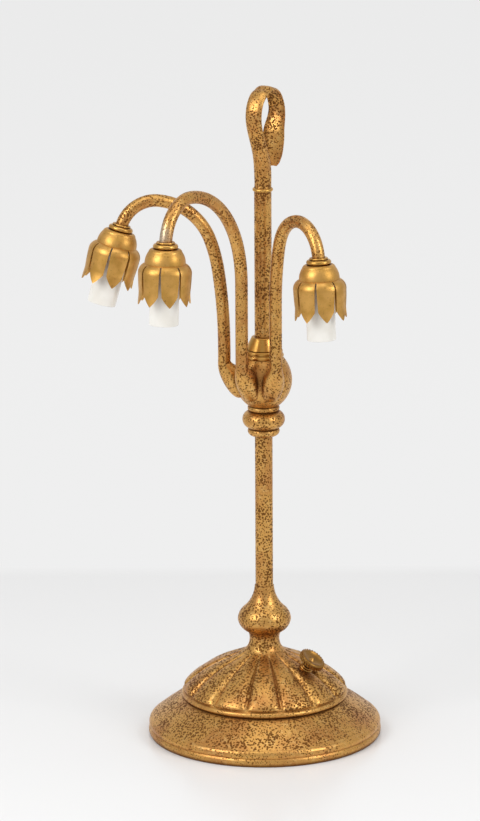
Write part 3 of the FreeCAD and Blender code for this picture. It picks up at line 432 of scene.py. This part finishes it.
# (radius, height, depth of the flutes) in millimetres: over the lobes' middles from the neck to the rim, and
# back up the inside
DOME_CREST = (
    (11.9, 76.4, 0.0), (12.0, 74.4, 0.0), (12.6, 72.0, 0.0), (13.9, 69.7, 0.0), (16.0, 67.6, 0.1),
    (19.0, 65.9, 0.8), (22.5, 64.4, 1.6), (27.0, 62.5, 2.3), (33.0, 60.0, 2.9), (39.0, 57.4, 3.3),
    (45.0, 54.2, 3.6), (51.0, 50.4, 3.9), (56.5, 46.4, 4.0), (61.0, 42.2, 4.0), (63.9, 38.9, 3.6),
    (64.5, 37.2, 2.6), (63.6, 36.0, 1.2), (62.9, 35.5, 0.2), (63.6, 35.3, 0.0), (65.0, 34.6, 0.0),
    (65.8, 33.1, 0.0), (65.3, 31.5, 0.0), (64.0, 30.5, 0.0),
)
DOME_INSIDE = (
    (57.2, 30.5, 0.0), (57.2, 33.0, 0.0), (53.0, 40.5, 0.0), (44.0, 48.0, 0.0), (32.0, 54.0, 0.0),
    (16.0, 59.0, 0.0), (9.0, 60.0, 0.0), (9.0, 76.4, 0.0),
)


def flute(share):
    """How deep the flute is at a share of the way from a lobe's middle (0) to the valley (1)."""
    return 0.18 * share**2 + 0.82 * share**7


def dome_ring(shell, radius, height, depth, inward):
    """One level ring of the dome's vertices, whose flutes are sunk along inward, in millimetres."""
    count = LOBES * LOBE_STEPS
    start = math.radians(LOBE_PHASE - 180.0 / LOBES)
    ring = []
    for turn in range(count):
        inset = depth * flute(abs(2.0 * (turn % LOBE_STEPS) / LOBE_STEPS - 1.0))
        azimuth = start + math.tau * turn / count
        reach = (radius + inward.x * inset) * MM
        level = (height + inward.y * inset) * MM
        ring.append(shell.verts.new((math.sin(azimuth) * reach, -math.cos(azimuth) * reach, level)))
    return ring


def fluted_dome():
    """Closed shell of the dome and its flared neck, whose flutes run from the neck to the rim's bead."""
    shell = bmesh.new()
    profile = [*DOME_CREST, *DOME_INSIDE]
    rings = []
    for index, (radius, height, depth) in enumerate(profile):
        before, after = profile[index - 1], profile[(index + 1) % len(profile)]
        run = Vector((after[0] - before[0], after[1] - before[1])).normalized()
        rings.append(dome_ring(shell, radius, height, depth, Vector((run.y, -run.x))))
    for low, high in zip(rings, rings[1:] + rings[:1]):
        for turn in range(len(low)):
            beside = (turn + 1) % len(low)
            shell.faces.new((low[turn], high[turn], high[beside], low[beside]))
    bmesh.ops.recalc_face_normals(shell, faces=shell.faces)
    for face in shell.faces:
        face.smooth = True
    mesh = bpy.data.meshes.new("fluted_dome")
    shell.to_mesh(mesh)
    shell.free()
    dome = bpy.data.objects.new("fluted_dome", mesh)
    bpy.context.scene.collection.objects.link(dome)
    rounding = dome.modifiers.new("rounding", "SUBSURF")
    rounding.levels = rounding.render_levels = 1
    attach(dome, ROOT)
    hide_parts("dome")
    return dome


# ---------------------------------------------------------------- operators


class LAMP_OT_fluted_dome(bpy.types.Operator):
    """The dome with its flared neck and its flutes, in etched gilding"""

    bl_idname = "lamp.fluted_dome"
    bl_label = "Fluted dome"

    def execute(self, context):
        etched = etched_gilt("etched gilt dome", bare_bands=[RIM_BAND_MM])
        fluted_dome().data.materials.append(etched)
        return {"FINISHED"}


class LAMP_OT_etched_parts(bpy.types.Operator):
    """Etched gilding on the foot, baluster, column, knuckle, hub, arms, stem and loop"""

    bl_idname = "lamp.etched_parts"
    bl_label = "Etched gilt parts"

    def execute(self, context):
        dress(["foot"], etched_gilt("etched gilt foot", 0.02, bare_bands=[FOOT_BAND_MM]))
        dress(["baluster", "column", "stem", "loop"], etched_gilt("etched gilt bronze"))
        dress(["knuckle", "hub"], etched_gilt("etched gilt bronze, rubbed", -0.1))
        dress(["arm_left", "arm_right"], etched_gilt("etched gilt tube", -0.06))
        low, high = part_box("collar_middle")
        patch = (low + high) / 2 / MM
        patch.z = high.z / MM + WORN_RISE_MM
        patch -= rightward(context.scene.lamp_stage.camera_azimuth) * WORN_ASIDE_MM
        dress(["arm_middle"], etched_gilt("etched gilt tube, worn end", -0.06, worn_at=patch))
        return {"FINISHED"}


class LAMP_OT_satin_parts(bpy.types.Operator):
    """Smooth gilding on the cap, the rings and the petal shade holders"""

    bl_idname = "lamp.satin_parts"
    bl_label = "Satin gilt parts"

    def execute(self, context):
        dress(of_each_arm("shade_holder"), satin_gilt("satin gilt brass", 0.4))
        dress(["hub_cap", "stem_ring", *of_each_arm("collar")], satin_gilt("turned gilt brass", 0.28))
        return {"FINISHED"}


class LAMP_OT_switch_parts(bpy.types.Operator):
    """Aged brass on the switch knob, its ferrule and the cord bush"""

    bl_idname = "lamp.switch_parts"
    bl_label = "Switch parts"

    def execute(self, context):
        dress(["switch_knob", "cord_bush"], satin_gilt("aged brass", 0.3, tarnish=0.55))
        dress(["switch_ferrule"], satin_gilt("rubbed brass", 0.3, tarnish=0.3))
        dress(["switch_shaft"], plain_metal("turned steel", "#B4B4B2", "#8E8C88", 0.25))
        return {"FINISHED"}


class LAMP_OT_socket_parts(bpy.types.Operator):
    """Porcelain sockets with brass shells and contacts"""

    bl_idname = "lamp.socket_parts"
    bl_label = "Socket parts"

    def execute(self, context):
        dress(of_each_arm("socket"), glazed_porcelain())
        brass = plain_metal("drawn brass", "#D8B770", "#A88447", 0.3)
        dress(of_each_arm("screw_shell", "contact", "nipple", "lock_nut"), brass)
        dress(["stem_plug", "hub_nut", "switch_nut"], brass)
        return {"FINISHED"}


class LAMP_OT_hidden_parts(bpy.types.Operator):
    """The underside, the tie pipe and the wiring"""

    bl_idname = "lamp.hidden_parts"
    bl_label = "Hidden parts"

    def execute(self, context):
        zinc = plain_metal("zinc plated steel", "#B9BBBB", "#94928C", 0.35)
        dress(["tie_pipe", "base_washer", "base_nut", "bottom_plate", "plate_screws"], zinc)
        dress(["felt_pad"], pressed_felt())
        dress(["switch_body"], moulded("moulded phenolic", "#1B1715", "#2A2320", 0.45))
        dress(["splice_cap"], moulded("moulded nylon", "#CFC6B2", "#BDB39C", 0.5))
        dress(["feed_lead", *of_each_arm("arm_lead")], moulded("lead insulation", "#B8AE96", "#A1967C", 0.5))
        return {"FINISHED"}


class LAMP_OT_stage(bpy.types.Operator):
    """The table, the room light, the studio lamps and the camera"""

    bl_idname = "lamp.stage"
    bl_label = "Stage"

    def execute(self, context):
        stage = context.scene.lamp_stage
        add_table(stage)
        light_room(stage)
        for name, azimuth, elevation, distance, width, height, power in LAMPS:
            add_lamp(stage, name, azimuth, elevation, distance, width, height, power)
        add_camera(stage)
        context.scene.view_settings.view_transform = "Standard"
        return {"FINISHED"}


# softboxes as (name, azimuth from the camera, elevation, distance, width, height, watts)
LAMPS = (
    ("left softbox", -50.0, 35.0, 1.5, 0.7, 0.9, 8.5),
    ("right softbox", 58.0, 30.0, 1.5, 0.5, 0.9, 6.0),
    ("overhead softbox", 10.0, 80.0, 1.5, 1.0, 1.0, 3.5),
)


def bearing(azimuth, elevation):
    """Unit vector at an azimuth from the front and an elevation, in radians."""
    level = math.cos(elevation)
    return Vector((math.sin(azimuth) * level, -math.cos(azimuth) * level, math.sin(elevation)))


def rightward(azimuth):
    """Level unit vector to the right, as seen from an azimuth."""
    return Vector((math.cos(azimuth), math.sin(azimuth), 0.0))


def add_table(stage):
    """Lacquered table top, which casts back its own colour and keeps the lamp's shadow. Past its straight
    far edge the camera, and reflections, see the backdrop."""
    mesh = bpy.data.meshes.new("table")
    grid = bmesh.new()
    bmesh.ops.create_circle(grid, cap_ends=True, radius=TABLE_RADIUS, segments=TABLE_CORNERS)
    grid.to_mesh(mesh)
    grid.free()
    table = bpy.data.objects.new("table", mesh)
    bpy.context.scene.collection.objects.link(table)
    material, tree, output = new_material("lacquered board")
    place = add_node(tree, "ShaderNodeTexCoord")
    behind = add_node(
        tree, "ShaderNodeVectorMath", [(0, place.outputs["Object"])], operation="DOT_PRODUCT"
    )
    behind.inputs[1].default_value = -bearing(stage.camera_azimuth, 0.0)
    edge = stage.table_edge
    beyond = steps(tree, behind.outputs["Value"], edge - EDGE_BLUR, edge + EDGE_BLUR)
    board = add_node(
        tree, "ShaderNodeBsdfPrincipled", Base_Color=linear(stage.table), Roughness=0.25, IOR=1.35
    )
    far = steps(tree, behind.outputs["Value"], edge, BACKDROP_FAR)
    wall = add_node(
        tree, "ShaderNodeEmission", [("Color", blend_colour(tree, far, stage.backdrop_low, stage.backdrop))]
    )
    seen = add_node(tree, "ShaderNodeLightPath")
    share = maths(tree, "MAXIMUM", seen.outputs["Is Camera Ray"], seen.outputs["Is Glossy Ray"])
    share = maths(tree, "MAXIMUM", share, seen.outputs["Is Transmission Ray"])
    mixed = add_node(
        tree, "ShaderNodeMixShader",
        [(0, maths(tree, "MULTIPLY", share, beyond)), (1, board.outputs[0]), (2, wall.outputs[0])],
    )
    tree.links.new(mixed.outputs[0], output.inputs["Surface"])
    table.data.materials.append(material)


def light_room(stage):
    """Even light from all round. The camera, and reflections of what is behind the lamp, see the backdrop's
    own colour."""
    world = bpy.data.worlds.new("room")
    bpy.context.scene.world = world
    world.use_nodes = True
    tree = world.node_tree
    tree.nodes.clear()
    output = tree.nodes.new("ShaderNodeOutputWorld")
    even = add_node(tree, "ShaderNodeBackground", Color=(1, 1, 1, 1), Strength=stage.room_light)
    backdrop = add_node(tree, "ShaderNodeBackground", Color=linear(stage.backdrop), Strength=1.0)
    seen = add_node(tree, "ShaderNodeLightPath")
    place = add_node(tree, "ShaderNodeTexCoord")
    ahead = add_node(
        tree, "ShaderNodeVectorMath", [(0, place.outputs["Generated"])], operation="DOT_PRODUCT"
    )
    ahead.inputs[1].default_value = -bearing(stage.camera_azimuth, 0.0)
    glossy = maths(
        tree, "MULTIPLY", seen.outputs["Is Glossy Ray"], steps(tree, ahead.outputs["Value"], 0.5, 0.9)
    )
    share = maths(tree, "MAXIMUM", seen.outputs["Is Camera Ray"], seen.outputs["Is Transmission Ray"])
    share = maths(tree, "MAXIMUM", share, glossy)
    mixed = add_node(
        tree, "ShaderNodeMixShader", [(0, share), (1, even.outputs[0]), (2, backdrop.outputs[0])]
    )
    tree.links.new(mixed.outputs[0], output.inputs["Surface"])


def add_lamp(stage, name, azimuth, elevation, distance, width, height, power):
    """Rectangular softbox aimed at the lamp's middle."""
    light = bpy.data.lights.new(name, "AREA")
    light.shape = "RECTANGLE"
    light.size = width
    light.size_y = height
    light.energy = power
    lamp = bpy.data.objects.new(name, light)
    bpy.context.scene.collection.objects.link(lamp)
    aim = Vector((0, 0, stage.aim_height))
    towards = bearing(stage.camera_azimuth + math.radians(azimuth), math.radians(elevation))
    lamp.location = aim + towards * distance
    lamp.rotation_mode = "QUATERNION"
    lamp.rotation_quaternion = (-towards).to_track_quat("-Z", "Y")


def add_camera(stage):
    """Long lens at the photograph's angle."""
    data = bpy.data.cameras.new("camera")
    data.lens = stage.lens
    data.sensor_width = SENSOR_MM
    data.clip_end = CLIP_END
    camera = bpy.data.objects.new("camera", data)
    bpy.context.scene.collection.objects.link(camera)
    back = bearing(stage.camera_azimuth, stage.camera_elevation)
    aim = Vector((0, 0, stage.aim_height)) - rightward(stage.camera_azimuth) * stage.aim_aside
    camera.location = aim + back * stage.camera_distance
    camera.rotation_mode = "QUATERNION"
    look = (-back).to_track_quat("-Z", "Y")
    camera.rotation_quaternion = Quaternion(back, stage.camera_roll) @ look
    bpy.context.scene.camera = camera


class LAMP_PT_sidebar(bpy.types.Panel):
    """Lists the lamp's pieces and finishes"""

    bl_idname = "LAMP_PT_sidebar"
    bl_label = "Three-light lamp"
    bl_space_type = "VIEW_3D"
    bl_region_type = "UI"
    bl_category = "Lamp"

    def draw(self, context):
        for name in LampFinish.__annotations__:
            self.layout.prop(context.scene.lamp_finish, name)
        for name in LampStage.__annotations__:
            self.layout.prop(context.scene.lamp_stage, name)
        for operator in OPERATORS:
            self.layout.operator(operator.bl_idname)


OPERATORS = (
    LAMP_OT_fluted_dome,
    LAMP_OT_etched_parts,
    LAMP_OT_satin_parts,
    LAMP_OT_switch_parts,
    LAMP_OT_socket_parts,
    LAMP_OT_hidden_parts,
    LAMP_OT_stage,
)
CLASSES = (LampFinish, LampStage, *OPERATORS, LAMP_PT_sidebar)


def register():
    for cls in CLASSES:
        bpy.utils.register_class(cls)
    bpy.types.Scene.lamp_finish = PointerProperty(type=LampFinish)
    bpy.types.Scene.lamp_stage = PointerProperty(type=LampStage)


def unregister():
    del bpy.types.Scene.lamp_stage
    del bpy.types.Scene.lamp_finish
    for cls in reversed(CLASSES):
        bpy.utils.unregister_class(cls)


def main():
    register()
    for operator in OPERATORS:
        group, name = operator.bl_idname.split(".")
        getattr(getattr(bpy.ops, group), name)()


if __name__ == "__main__":
    main()
